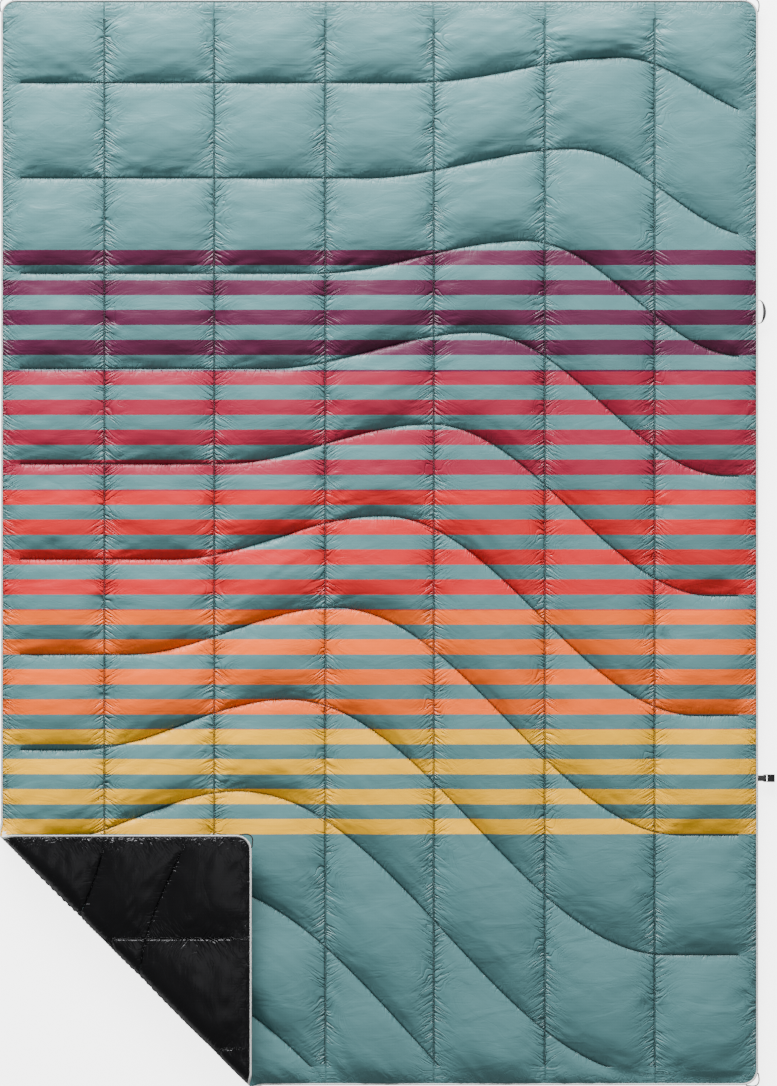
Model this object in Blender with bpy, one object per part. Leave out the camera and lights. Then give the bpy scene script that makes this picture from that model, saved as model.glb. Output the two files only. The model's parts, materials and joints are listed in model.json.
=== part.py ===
"""Quilted camp blanket with one corner turned over, sewn loops at its corners and a cape clip on one edge.

Units are metres and +Z is up. The blanket lies on its lining at z = 0 with its centre at the origin, and +Y
runs along its length. The turned corner is modelled flat and then swung half a turn about its fold line.
"""

import math

import bmesh
import bpy
from mathutils import Matrix, Vector

# Outline
WIDTH = 1.325
LENGTH = 1.902
CORNER_RADIUS = 0.024
CORNER_STEPS = 3
FOLD_LEG = 0.4355

# Thickness
CROWN = 0.026
SEAM_TOP = 0.010
SEAM_BOTTOM = 0.007
CLOTH = 0.0006
GAP = 0.0003
HEM_RUN = 0.010
PUFF_RUN = 0.040

# Quilting
COLUMNS = 6
COLUMN_PITCH = 0.193
COLUMN_END = 0.034
WAVES = 11
WAVE_END = 0.030
CREST_X = (0.4231, -0.0836)
CREST_Y = (0.8525, -0.1612)
LEVEL_Y = (0.8077, -0.1675)
RISE_RUN = 0.370
FALL = (0.1056, 0.0491)
FALL_RUN = (0.2727, 0.0563)
CELL_PHASES = (0.25, 0.75)
THREAD_RADIUS = 0.0005

# Edge pieces
PIPING_RADIUS = 0.0015
CORD_RADIUS = 0.0012
LOOP_ARC = math.radians(12)
LOOP_STAND_OFF = 0.0077
TAB_HEEL = 0.0014
RING_Y = 0.4056
RING_HALF_SPAN = 0.0205
RING_BULGE = 0.0095
RING_LEAN = 0.0030
RING_WIDTH = 0.009
RING_THICKNESS = 0.0013
CLIP_Y = -0.4144
STRAP_REACH = 0.010
STRAP_WIDTH = 0.0105
STRAP_LAYER = 0.0010
BAR_RADIUS = 0.0015
HOOK_WIDTH = 0.0135
HOOK_WALL = 0.0022
HOOK_THROAT = 0.0050
HOOK_REACH = 0.013

FOLD_HEIGHT = CROWN + GAP
SEAM_MID = (SEAM_TOP + SEAM_BOTTOM) / 2
FOLD_POINT = Vector((-WIDTH / 2 + FOLD_LEG / 2, -LENGTH / 2 + FOLD_LEG / 2, FOLD_HEIGHT))
FOLD_AXIS = Vector((1, -1, 0)).normalized()
INWARD = Vector((1, 1, 0)).normalized()
PIPING_LINE = GAP + PIPING_RADIUS
EDGE_OUT = 2 * PIPING_RADIUS + 2 * GAP


def linear(pair, index):
    return pair[0] + pair[1] * index


def ease(share):
    share = min(max(share, 0.0), 1.0)
    return (1 - math.cos(math.pi * share)) / 2


def wave_y(index, x):
    """Height on the blanket of a wave seam: level at the left, up to a crest and down a long slope."""
    level, crest = linear(LEVEL_Y, index), linear(CREST_Y, index)
    crest_x = linear(CREST_X, index)
    if x < crest_x:
        return level + (crest - level) * ease((x - crest_x + RISE_RUN) / RISE_RUN)
    return crest - linear(FALL, index) * ease((x - crest_x) / linear(FALL_RUN, index))


def column_x(index):
    return (index - (COLUMNS - 1) / 2) * COLUMN_PITCH


def seam_columns():
    return [-WIDTH / 2] + [column_x(i) for i in range(COLUMNS)] + [WIDTH / 2]


def seam_rows(x):
    rows = [LENGTH / 2] + [wave_y(i, x) for i in range(WAVES)]
    return rows + [min(rows[-1] + LEVEL_Y[1], -LENGTH / 2 - HEM_RUN)]


def with_phases(stops):
    """The stops themselves with the quilt cell's crown lines between each two."""
    lines = []
    for start, end in zip(stops, stops[1:]):
        lines.append(start)
        lines += [start + (end - start) * phase for phase in CELL_PHASES]
    return lines + [stops[-1]]


def fold_distance(x, y):
    """How far a point lies inside the fold line; the turned corner is on the negative side."""
    return (Vector((x, y, 0)) - FOLD_POINT).dot(INWARD)


def outline_distance(x, y):
    """How far a point lies inside the rounded outline."""
    dx = abs(x) - (WIDTH / 2 - CORNER_RADIUS)
    dy = abs(y) - (LENGTH / 2 - CORNER_RADIUS)
    outside = math.hypot(max(dx, 0.0), max(dy, 0.0)) + min(max(dx, dy), 0.0)
    return CORNER_RADIUS - outside


def corner_points(sign_x, sign_y, offset=0.0):
    """The corner's arc from the side edge round to the end edge, grown by the offset."""
    centre = Vector((sign_x * (WIDTH / 2 - CORNER_RADIUS), sign_y * (LENGTH / 2 - CORNER_RADIUS), 0))
    points = []
    for step in range(CORNER_STEPS + 1):
        angle = math.pi / 2 * step / CORNER_STEPS
        arm = Vector((sign_x * math.cos(angle), sign_y * math.sin(angle), 0))
        points.append(centre + arm * (CORNER_RADIUS + offset))
    return points


def cut(plan, point, normal, drop=True):
    """Splits the plan along a vertical plane and, unless told not to, drops the side the normal points to."""
    geometry = plan.verts[:] + plan.edges[:] + plan.faces[:]
    bmesh.ops.bisect_plane(plan, geom=geometry, plane_co=point, plane_no=normal, clear_outer=drop)


def quilt_plan():
    """The quilted sheet seen from above, its mesh lines on the seams, the cell crowns and the hem."""
    plan = bmesh.new()
    grid = []
    for x in with_phases(seam_columns()):
        grid.append([plan.verts.new((x, y, 0)) for y in with_phases(seam_rows(x))])
    for left, right in zip(grid, grid[1:]):
        for j in range(len(left) - 1):
            plan.faces.new((left[j], left[j + 1], right[j + 1], right[j]))
    cut(plan, (0, -LENGTH / 2, 0), (0, -1, 0))
    cut(plan, (0, -LENGTH / 2 + PUFF_RUN, 0), (0, -1, 0), drop=False)
    for sign in (-1, 1):
        cut(plan, (sign * (WIDTH / 2 - HEM_RUN), 0, 0), (1, 0, 0), drop=False)
        cut(plan, (0, sign * (LENGTH / 2 - HEM_RUN), 0), (0, 1, 0), drop=False)
    for sign_x in (-1, 1):
        for sign_y in (-1, 1):
            arc = corner_points(sign_x, sign_y)
            for first, second in zip(arc, arc[1:]):
                along = second - first
                out = Vector((along.y, -along.x, 0)) * sign_x * sign_y
                cut(plan, first, out)
    return plan


def half_of_plan(turned):
    """The plan on one side of the fold line, in triangles that every layer shares."""
    plan = quilt_plan()
    side = -1 if turned else 1
    cut(plan, FOLD_POINT + INWARD * side * GAP / 2, INWARD * -side)
    bmesh.ops.remove_doubles(plan, verts=plan.verts[:], dist=0.0002)
    bmesh.ops.dissolve_degenerate(plan, edges=plan.edges[:], dist=0.0001)
    bmesh.ops.triangulate(plan, faces=plan.faces[:])
    return plan


def cell_phase(value, stops):
    for start, end in zip(stops, stops[1:]):
        if min(start, end) - 1e-6 <= value <= max(start, end) + 1e-6:
            return (value - start) / (end - start)
    return 0.0


def puff(phase):
    """0 on a seam and 1 over the crown of a cell."""
    edge = CELL_PHASES[0]
    return min(1.0, min(phase, 1 - phase) / edge)


def face_height(x, y):
    share = puff(cell_phase(x, seam_columns())) * puff(cell_phase(y, seam_rows(x)))
    share *= min(1.0, max(0.0, outline_distance(x, y)) / PUFF_RUN)
    return SEAM_TOP + (CROWN - SEAM_TOP) * max(0.0, share)


def lining_height(x, y):
    return SEAM_BOTTOM * max(0.0, 1 - outline_distance(x, y) / HEM_RUN)


def material(name, colour, roughness, metallic=0.0):
    made = bpy.data.materials.new(name)
    made.use_nodes = True
    shader = made.node_tree.nodes["Principled BSDF"]
    shader.inputs["Base Color"].default_value = (*colour, 1)
    shader.inputs["Roughness"].default_value = roughness
    shader.inputs["Metallic"].default_value = metallic
    made.diffuse_color = (*colour, 1)
    return made


def finish(obj, pivot, turned=False):
    """Puts an object's origin on its pivot; a turned piece is swung over about the fold line."""
    obj.data.transform(Matrix.Translation(-pivot))
    place = Matrix.Translation(pivot)
    if turned:
        swing = Matrix.Rotation(math.pi, 4, FOLD_AXIS)
        place = Matrix.Translation(FOLD_POINT) @ swing @ Matrix.Translation(-FOLD_POINT) @ place
    obj.matrix_world = place
    bpy.context.scene.collection.objects.link(obj)
    return obj


def mesh_object(name, mesh_data, look, smooth=True):
    bmesh.ops.recalc_face_normals(mesh_data, faces=mesh_data.faces[:])
    mesh = bpy.data.meshes.new(name)
    mesh_data.to_mesh(mesh)
    mesh_data.free()
    if smooth:
        mesh.shade_smooth()
        mesh.set_sharp_from_angle(angle=math.radians(40))
    mesh.materials.append(look)
    return bpy.data.objects.new(name, mesh)


def layer(name, turned, upper, lower, look):
    """A closed layer of the quilt between two height functions over the shared plan."""
    body = half_of_plan(turned)
    top = body.verts[:]
    rim = [tuple(e.verts) for e in body.edges if e.is_boundary]
    copied = bmesh.ops.duplicate(body, geom=body.verts[:] + body.edges[:] + body.faces[:])
    twins = {vert: copied["vert_map"][vert] for vert in top}
    for vert, twin in twins.items():
        x, y = vert.co.x, vert.co.y
        vert.co.z = upper(x, y)
        twin.co.z = lower(x, y)
    for first, second in rim:
        body.faces.new((first, second, twins[second], twins[first]))
    bmesh.ops.dissolve_limit(body, angle_limit=math.radians(0.01), verts=body.verts[:], edges=body.edges[:])
    pivot = FOLD_POINT if turned else Vector((0, 0, 0))
    return finish(mesh_object(name, body, look), pivot, turned)


def tube(name, points, radius, sides, look, pivot, turned=False):
    """A round cord along its points, with closed ends."""
    body = bmesh.new()
    rings = []
    for i, point in enumerate(points):
        along = points[min(i + 1, len(points) - 1)] - points[max(i - 1, 0)]
        side = Vector((along.y, -along.x, 0)).normalized()
        up = side.cross(along.normalized())
        ring = []
        for j in range(sides):
            angle = 2 * math.pi * (j + 0.5) / sides
            ring.append(body.verts.new(point + (side * math.cos(angle) + up * math.sin(angle)) * radius))
        rings.append(ring)
    for ring, following in zip(rings, rings[1:]):
        for j in range(sides):
            k = (j + 1) % sides
            body.faces.new((ring[j], ring[k], following[k], following[j]))
    body.faces.new(rings[0])
    body.faces.new(rings[-1])
    return finish(mesh_object(name, body, look), pivot, turned)


def prism(outline, low_y, high_y):
    """A solid with an outline in the XZ plane, drawn out along Y."""
    body = bmesh.new()
    base = body.faces.new([body.verts.new((x, low_y, z)) for x, z in outline])
    drawn = bmesh.ops.extrude_face_region(body, geom=[base])
    moved = [g for g in drawn["geom"] if isinstance(g, bmesh.types.BMVert)]
    bmesh.ops.translate(body, verts=moved, vec=(0, high_y - low_y, 0))
    return body


def arc(centre, radius, start, end, steps):
    points = []
    for step in range(steps + 1):
        angle = math.radians(start + (end - start) * step / steps)
        points.append((centre[0] + radius * math.cos(angle), centre[1] + radius * math.sin(angle)))
    return points


def along_seam(index):
    """A wave seam's points from left to right, until it runs out at an edge."""
    points = []
    for x in with_phases(seam_columns()):
        x = min(max(x, -WIDTH / 2 + WAVE_END), WIDTH / 2 - WAVE_END)
        points.append(Vector((x, wave_y(index, x), 0)))
    return clip_ends(points, lambda p: p.y + LENGTH / 2 - WAVE_END)


def clip_ends(points, inside):
    """Keeps the stretch where inside is positive, ending exactly where it turns negative."""
    kept = []
    for first, second in zip(points, points[1:]):
        a, b = inside(first), inside(second)
        if a > 0:
            kept.append(first)
        if a * b < 0:
            kept.append(first.lerp(second, a / (a - b)))
    if inside(points[-1]) > 0:
        kept.append(points[-1])
    return kept


def make_stitches(thread):
    """Column threads lie in the valleys, and wave threads cross over them."""
    low = SEAM_TOP + 2 * GAP + THREAD_RADIUS
    high = low + 2 * THREAD_RADIUS + GAP
    rows = []
    for i in range(COLUMNS):
        top = Vector((column_x(i), LENGTH / 2 - COLUMN_END, 0))
        bottom = Vector((column_x(i), -LENGTH / 2 + COLUMN_END, 0))
        rows.append((f"column_stitch_{i + 1}", [top, bottom], low))
    for i in range(WAVES):
        rows.append((f"wave_stitch_{i + 1}", along_seam(i), high))
    margin = 4 * THREAD_RADIUS
    for name, path, z in rows:
        for turned in (False, True):
            side = -1 if turned else 1
            kept = clip_ends(path, lambda p: side * fold_distance(p.x, p.y) - margin)
            if len(kept) < 2:
                continue
            kept = [Vector((p.x, p.y, z)) for p in kept]
            pivot = FOLD_POINT if turned else Vector((0, 0, 0))
            tube(("flap_" if turned else "") + name, kept, THREAD_RADIUS, 4, thread, pivot, turned)


def make_piping(look):
    """The piping's run round the panel, and its run round the turned corner."""
    arcs = {}
    for sign_x in (-1, 1):
        for sign_y in (-1, 1):
            arcs[sign_x, sign_y] = corner_points(sign_x, sign_y, PIPING_LINE)
    side_end = Vector((-WIDTH / 2 - PIPING_LINE, -LENGTH / 2 + FOLD_LEG, 0))
    foot_end = Vector((-WIDTH / 2 + FOLD_LEG, -LENGTH / 2 - PIPING_LINE, 0))
    back_off = 3 * PIPING_RADIUS
    panel = [side_end + Vector((0, back_off, 0))]
    panel += arcs[-1, 1] + arcs[1, 1][::-1] + arcs[1, -1]
    panel.append(foot_end + Vector((back_off, 0, 0)))
    corner = [side_end - Vector((0, back_off, 0))] + arcs[-1, -1] + [foot_end - Vector((back_off, 0, 0))]
    for name, path, turned in (("edge_piping", panel, False), ("flap_piping", corner, True)):
        path = [Vector((p.x, p.y, SEAM_MID)) for p in path]
        pivot = FOLD_POINT if turned else Vector((0, 0, 0))
        tube(name, path, PIPING_RADIUS, 8, look, pivot, turned)


def make_corner_loop(name, sign_x, sign_y, look, turned=False):
    """A cord loop sewn into the corner's seam at both ends and standing off from it between."""
    centre = Vector((sign_x * (WIDTH / 2 - CORNER_RADIUS), sign_y * (LENGTH / 2 - CORNER_RADIUS), SEAM_MID))
    heel = CORNER_RADIUS + EDGE_OUT + CORD_RADIUS
    steps = 12
    points = []
    for step in range(steps + 1):
        share = step / steps
        angle = LOOP_ARC + (math.pi / 2 - 2 * LOOP_ARC) * share
        reach = heel + LOOP_STAND_OFF * math.sin(math.pi * share) ** 2
        points.append(centre + Vector((sign_x * math.cos(angle), sign_y * math.sin(angle), 0)) * reach)
    pivot = (points[0] + points[-1]) / 2
    tube(name, points, CORD_RADIUS, 8, look, pivot, turned)


def make_clip_loop(look):
    """A narrow webbing loop on the side edge, sewn flat at its ends and standing on edge between."""
    heel_x = WIDTH / 2 + EDGE_OUT + TAB_HEEL
    steps = 14
    body = bmesh.new()
    rings = []
    for step in range(steps + 1):
        turn = math.pi * step / steps
        swell = math.sin(turn)
        half = (PIPING_RADIUS * 2 + (RING_WIDTH - PIPING_RADIUS * 2) * swell ** 0.7) / 2
        normal = Vector((math.sin(turn) * RING_HALF_SPAN, math.cos(turn) * RING_BULGE, 0)).normalized()
        ring = []
        for side, level in ((-1, -1), (1, -1), (1, 1), (-1, 1)):
            bulge = (RING_BULGE - RING_LEAN * level) * swell
            spot = Vector((heel_x + bulge, RING_Y + RING_HALF_SPAN * math.cos(turn), SEAM_MID + half * level))
            ring.append(body.verts.new(spot + normal * side * RING_THICKNESS / 2))
        rings.append(ring)
    for ring, following in zip(rings, rings[1:]):
        for j in range(4):
            k = (j + 1) % 4
            body.faces.new((ring[j], ring[k], following[k], following[j]))
    body.faces.new(rings[0])
    body.faces.new(rings[-1])
    finish(mesh_object("clip_loop", body, look), Vector((heel_x, RING_Y, SEAM_MID)))


def ring_prism(outer, inner, low_y, high_y):
    """A ring between two outlines with the same number of points, drawn out along Y."""
    body = bmesh.new()
    loops = []
    for outline, y in ((outer, low_y), (outer, high_y), (inner, high_y), (inner, low_y)):
        loops.append([body.verts.new((x, y, z)) for x, z in outline])
    for loop, following in zip(loops, loops[1:] + loops[:1]):
        for j in range(len(loop)):
            k = (j + 1) % len(loop)
            body.faces.new((loop[j], loop[k], following[k], following[j]))
    return body


def make_clip(webbing, moulding):
    """A strap sewn into the side seam and folded round the bar of a moulded hook."""
    heel_x = WIDTH / 2 + EDGE_OUT + TAB_HEEL
    bar_x = heel_x + STRAP_REACH
    inner_radius = BAR_RADIUS + GAP
    outer_radius = inner_radius + STRAP_LAYER
    slit = CLOTH / 2
    outer = [(heel_x, -STRAP_LAYER), *arc((bar_x, 0), outer_radius, -90, 90, 10), (heel_x, STRAP_LAYER)]
    slit_x = heel_x + STRAP_REACH / 3
    inner = [(slit_x, -slit), *arc((bar_x, 0), inner_radius, -90, 90, 10), (slit_x, slit)]
    outer = [(x, z + SEAM_MID) for x, z in outer]
    inner = [(x, z + SEAM_MID) for x, z in inner]
    strap = ring_prism(outer, inner, CLIP_Y - STRAP_WIDTH / 2, CLIP_Y + STRAP_WIDTH / 2)
    finish(mesh_object("clip_webbing", strap, webbing), Vector((heel_x, CLIP_Y, SEAM_MID)))

    clear = outer_radius + 4 * GAP
    roof = BAR_RADIUS
    floor = roof - HOOK_THROAT
    mid = (roof + floor) / 2
    turn_x = HOOK_REACH
    hook_outline = [(clear, roof), (clear, roof + HOOK_WALL)]
    hook_outline += arc((turn_x, mid), HOOK_THROAT / 2 + HOOK_WALL, 90, -90, 10)
    hook_outline += [(turn_x - HOOK_REACH / 2, floor - HOOK_WALL), (turn_x - HOOK_REACH / 2 - HOOK_WALL, floor)]
    hook_outline += arc((turn_x, mid), HOOK_THROAT / 2, -90, 90, 8)
    half = HOOK_WIDTH / 2
    hook = place(prism(hook_outline, -half, half), bar_x)
    body = mesh_object("clip_hook", hook, moulding)
    arm_inner = STRAP_WIDTH / 2 + GAP
    for side in (-1, 1):
        edges = sorted((side * arm_inner, side * half))
        arm = [(-outer_radius, -BAR_RADIUS), (clear + HOOK_WALL, -BAR_RADIUS)]
        arm += [(clear + HOOK_WALL, roof + HOOK_WALL / 2), (-outer_radius, roof)]
        weld(body, place(prism(arm, *edges), bar_x))
    inset = (half - arm_inner) / 2
    bar = prism(arc((0, 0), BAR_RADIUS - GAP / 3, 0, 330, 11), -arm_inner - inset, arm_inner + inset)
    weld(body, place(bar, bar_x))
    finish(body, Vector((bar_x, CLIP_Y, SEAM_MID)))


def place(mesh_data, bar_x):
    bmesh.ops.translate(mesh_data, verts=mesh_data.verts[:], vec=(bar_x, CLIP_Y, SEAM_MID))
    bmesh.ops.recalc_face_normals(mesh_data, faces=mesh_data.faces[:])
    return mesh_data


def weld(body, addition):
    """Joins a closed mesh onto an object with a Boolean union, and keeps only the result."""
    tool = mesh_object(body.name + "_tool", addition, body.data.materials[0])
    scene_objects = bpy.context.scene.collection.objects
    scene_objects.link(body)
    scene_objects.link(tool)
    union = body.modifiers.new("weld", "BOOLEAN")
    union.operation = "UNION"
    union.object = tool
    bpy.context.view_layer.update()
    evaluated = body.evaluated_get(bpy.context.evaluated_depsgraph_get())
    joined = bpy.data.meshes.new_from_object(evaluated)
    body.modifiers.remove(union)
    body.data = joined
    bpy.data.objects.remove(tool)
    scene_objects.unlink(body)


def clear_scene():
    for obj in list(bpy.data.objects):
        bpy.data.objects.remove(obj)


def make_blanket():
    printed = material("printed_ripstop", (0.22, 0.38, 0.40), 0.45)
    lining = material("black_lining", (0.010, 0.010, 0.011), 0.35)
    batting = material("white_batting", (0.85, 0.85, 0.83), 0.95)
    thread = material("dark_teal_thread", (0.05, 0.11, 0.12), 0.6)
    piping = material("white_piping", (0.88, 0.88, 0.86), 0.55)
    cord = material("black_cord", (0.012, 0.012, 0.013), 0.6)
    webbing = material("black_webbing", (0.015, 0.015, 0.016), 0.65)
    moulding = material("black_moulding", (0.020, 0.020, 0.022), 0.45)
    for turned in (False, True):
        prefix = "flap_" if turned else ""
        inset = CLOTH + GAP
        layer(prefix + "face_shell", turned, face_height, lambda x, y: face_height(x, y) - CLOTH, printed)
        layer(
            prefix + "insulation",
            turned,
            lambda x, y: face_height(x, y) - inset,
            lambda x, y: lining_height(x, y) + inset,
            batting,
        )
        layer(prefix + "backing_shell", turned, lambda x, y: lining_height(x, y) + CLOTH, lining_height, lining)
    make_stitches(thread)
    make_piping(piping)
    make_corner_loop("corner_loop_top_left", -1, 1, cord)
    make_corner_loop("corner_loop_top_right", 1, 1, cord)
    make_corner_loop("corner_loop_bottom_right", 1, -1, cord)
    make_corner_loop("corner_loop_turned", -1, -1, cord, turned=True)
    make_clip_loop(webbing)
    make_clip(webbing, moulding)


clear_scene()
make_blanket()
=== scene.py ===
"""Quilted camp blanket, laid out flat with one corner turned over: its cloth, seams, cords and clip."""

import json
import math

import bmesh
import bpy
import numpy as np
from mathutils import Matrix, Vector


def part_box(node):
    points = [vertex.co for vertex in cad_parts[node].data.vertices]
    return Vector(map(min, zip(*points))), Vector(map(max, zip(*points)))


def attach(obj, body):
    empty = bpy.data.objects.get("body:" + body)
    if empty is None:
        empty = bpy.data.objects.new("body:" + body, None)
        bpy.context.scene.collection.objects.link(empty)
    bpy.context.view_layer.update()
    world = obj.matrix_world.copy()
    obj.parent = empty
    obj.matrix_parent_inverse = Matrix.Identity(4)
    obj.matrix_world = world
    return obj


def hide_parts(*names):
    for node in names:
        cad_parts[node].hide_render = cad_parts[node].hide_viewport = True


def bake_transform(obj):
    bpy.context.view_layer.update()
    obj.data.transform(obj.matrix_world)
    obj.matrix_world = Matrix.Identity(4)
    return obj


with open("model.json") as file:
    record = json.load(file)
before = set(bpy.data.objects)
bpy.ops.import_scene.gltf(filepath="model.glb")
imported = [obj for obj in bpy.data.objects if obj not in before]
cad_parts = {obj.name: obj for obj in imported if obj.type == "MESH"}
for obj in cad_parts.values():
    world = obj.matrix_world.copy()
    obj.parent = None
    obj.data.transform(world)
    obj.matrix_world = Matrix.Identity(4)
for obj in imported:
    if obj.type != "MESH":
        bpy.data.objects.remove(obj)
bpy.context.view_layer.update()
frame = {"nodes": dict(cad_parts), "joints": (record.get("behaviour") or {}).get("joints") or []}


# -----------------------------------------------------------------------------
# Studio. A pale floor, one long soft light beyond the blanket's head and a weaker one overhead, and a camera
# with a long lens straight above.
# -----------------------------------------------------------------------------

VIEW_HEIGHT = 9.0
VIEW_TALL = 1.911
VIEW_CENTRE = (0.0158, -0.0009)
FLOOR_SIZE, FLOOR_DEPTH, FLOOR_TONE, FLOOR_GLOW = 24.0, 0.0005, 0.93, 4.0
KEY_POWER, TOP_POWER, WORLD_POWER = 860, 24, 0.30


def put_in_scene(name, data):
    """A new object for a mesh, light or camera, put in the scene."""
    made = bpy.data.objects.new(name, data)
    bpy.context.scene.collection.objects.link(made)
    return made


def new_look(name):
    look = bpy.data.materials.new(name)
    look.use_nodes = True
    return look, look.node_tree, look.node_tree.nodes["Principled BSDF"]


camera_data = bpy.data.cameras.new("camera")
camera_data.sensor_width = 36.0
camera_data.lens = camera_data.sensor_width * VIEW_HEIGHT / VIEW_TALL
camera_data.clip_end = 60.0
camera = put_in_scene("camera", camera_data)
camera.location = (*VIEW_CENTRE, VIEW_HEIGHT)
bpy.context.scene.camera = camera

bpy.ops.object.select_all(action="DESELECT")
bpy.ops.mesh.primitive_plane_add(size=FLOOR_SIZE, location=(0, 0, -FLOOR_DEPTH))
floor = bpy.context.object
floor.name = "studio_floor"
floor_look, floor_tree, floor_shader = new_look("studio_floor")
floor_shader.inputs["Base Color"].default_value = (FLOOR_TONE, FLOOR_TONE, FLOOR_TONE, 1)
floor_shader.inputs["Roughness"].default_value = 0.9
floor_shader.inputs["Emission Color"].default_value = (1, 1, 1, 1)
seen_directly = floor_tree.nodes.new("ShaderNodeLightPath").outputs["Is Camera Ray"]
floor_glow = floor_tree.nodes.new("ShaderNodeMath")
floor_glow.operation = "MULTIPLY"
floor_glow.inputs[1].default_value = FLOOR_GLOW
floor_tree.links.new(seen_directly, floor_glow.inputs[0])
floor_tree.links.new(floor_glow.outputs["Value"], floor_shader.inputs["Emission Strength"])
floor.data.materials.append(floor_look)


def studio_light(name, place, width, height, power):
    """An area light aimed at the blanket's middle."""
    data = bpy.data.lights.new(name, "AREA")
    data.shape = "RECTANGLE"
    data.size = width
    data.size_y = height
    data.energy = power
    lamp = put_in_scene(name, data)
    lamp.location = place
    lamp.rotation_euler = (-Vector(place)).to_track_quat("-Z", "Y").to_euler()


studio_light("key_light", (-0.9, 4.4, 1.9), 4.5, 1.3, KEY_POWER)
studio_light("top_light", (0.8, 0.4, 4.5), 3.0, 3.0, TOP_POWER)
world = bpy.data.worlds.new("studio")
world.use_nodes = True
background = world.node_tree.nodes["Background"]
background.inputs["Color"].default_value = (1, 1, 1, 1)
background.inputs["Strength"].default_value = WORLD_POWER
bpy.context.scene.world = world


# -----------------------------------------------------------------------------
# Printed face. One panel of downproof polyester ripstop, printed with twenty stripes, quilted through the fill
# along six straight columns and eleven waves, and turned over with its corner. Its cells are blown up by a cloth
# simulation that is held along the seams, and the gathers beside the seams are shaped afterwards.
# -----------------------------------------------------------------------------

panel_low, panel_high = (Vector(corner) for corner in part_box("face_shell"))
WIDTH = panel_high.x - panel_low.x
LENGTH = panel_high.y - panel_low.y
CORNER_RADIUS = 0.024
COLUMNS, COLUMN_PITCH, COLUMN_END = 6, 0.193, 0.034
WAVES, WAVE_END = 11, 0.030
SEAM_FACE = 0.0091
SEAM_LINING = 0.0079
SEAM_EDGE = 0.0085
CROWN = 0.0250

fold = next(joint for joint in frame["joints"] if joint["name"] == "corner_fold")
FOLD_POINT = Vector(fold["pos_m"])
FOLD_HEIGHT = FOLD_POINT.z
INWARD = np.array((1.0, 1.0)) / math.sqrt(2.0)
FACE_EASE = 0.026
ROLL_RUN = 0.77
ROLL_BULGE = 0.16
NOISE_GRID = 256


def portion(value, whole):
    return np.clip(value / whole, 0, 1)


def ease(share):
    share = np.clip(share, 0.0, 1.0)
    return (1 - np.cos(np.pi * share)) / 2


def wave_y(index, x):
    """A wave seam: level at the left, a rise to its crest, a long fall, and a step on from the seam before."""
    crest_x = 0.4231 - 0.0836 * index
    crest = 0.8525 - 0.1612 * index
    level = 0.8077 - 0.1675 * index
    rising = level + (crest - level) * ease((x - crest_x + 0.370) / 0.370)
    falling = crest - (0.1056 + 0.0491 * index) * ease((x - crest_x) / (0.2727 + 0.0563 * index))
    return np.where(x < crest_x, rising, falling)


def column_x(index):
    return (index - (COLUMNS - 1) / 2) * COLUMN_PITCH


def seam_rows(x):
    """Every row's height at x, from the head of the blanket to below its foot."""
    rows = [np.full_like(x, LENGTH / 2)] + [wave_y(i, x) for i in range(WAVES)]
    rows.append(np.minimum(rows[-1] - 0.1675, -LENGTH / 2 - 0.010))
    return np.array(rows)


SEAM_COLUMNS = np.array([-WIDTH / 2] + [column_x(i) for i in range(COLUMNS)] + [WIDTH / 2])


def outline_distance(x, y):
    """How far points lie inside the rounded outline."""
    dx = np.abs(x) - (WIDTH / 2 - CORNER_RADIUS)
    dy = np.abs(y) - (LENGTH / 2 - CORNER_RADIUS)
    return CORNER_RADIUS - np.hypot(np.maximum(dx, 0), np.maximum(dy, 0)) - np.minimum(np.maximum(dx, dy), 0)


def seam_measures(x, y):
    """For each point: signed distances to the nearest column and wave, phases in the cell, cell numbers."""
    column = np.clip(np.searchsorted(SEAM_COLUMNS, x) - 1, 0, COLUMNS)
    left, right = SEAM_COLUMNS[column], SEAM_COLUMNS[column + 1]
    across = np.clip((x - left) / (right - left), 0, 1)
    rows = seam_rows(x)
    row = np.clip((rows > y[None, :]).sum(axis=0) - 1, 0, WAVES)
    points = np.arange(len(x))
    upper, lower = rows[row, points], rows[row + 1, points]
    down = np.clip((upper - y) / (upper - lower), 0, 1)
    from_column = np.where(across < 0.5, x - left, x - right)
    from_wave = np.where(down < 0.5, y - upper, y - lower)
    return across, down, from_column, from_wave, column, row, upper - lower


def held_by_seam(x, y, from_column, from_wave, slack=0.0002):
    """Which points a row of stitches passes through."""
    tall = np.abs(y) < LENGTH / 2 - COLUMN_END
    on_column = (np.abs(from_column) < slack) & tall & (np.abs(x) < WIDTH / 2 - slack)
    wide = (np.abs(x) < WIDTH / 2 - WAVE_END) & (y > -LENGTH / 2 + WAVE_END)
    on_wave = (np.abs(from_wave) < slack) & wide & (y < LENGTH / 2 - slack)
    return on_column | on_wave


def cloth_noise(x, y, seed):
    """Smooth random values between -1 and 1 over a plane, one feature to a unit."""
    table = np.random.default_rng(seed).uniform(-1, 1, (NOISE_GRID, NOISE_GRID))
    ix, iy = np.floor(x).astype(int), np.floor(y).astype(int)
    fx, fy = x - ix, y - iy
    fx, fy = fx * fx * (3 - 2 * fx), fy * fy * (3 - 2 * fy)
    ix, iy = ix % NOISE_GRID, iy % NOISE_GRID
    jx, jy = (ix + 1) % NOISE_GRID, (iy + 1) % NOISE_GRID
    low = table[ix, iy] * (1 - fx) + table[jx, iy] * fx
    high = table[ix, jy] * (1 - fx) + table[jx, jy] * fx
    return low * (1 - fy) + high * fy


def fold_distance(points):
    """How far points lie from the fold line, on the blanket's side of it."""
    return (points[:, :2] - np.array(FOLD_POINT[:2])) @ INWARD


def coordinates(mesh):
    values = np.empty(len(mesh.vertices) * 3)
    mesh.vertices.foreach_get("co", values)
    return values.reshape(-1, 3)


def set_coordinates(mesh, values):
    mesh.vertices.foreach_set("co", values.ravel())
    mesh.update()


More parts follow.
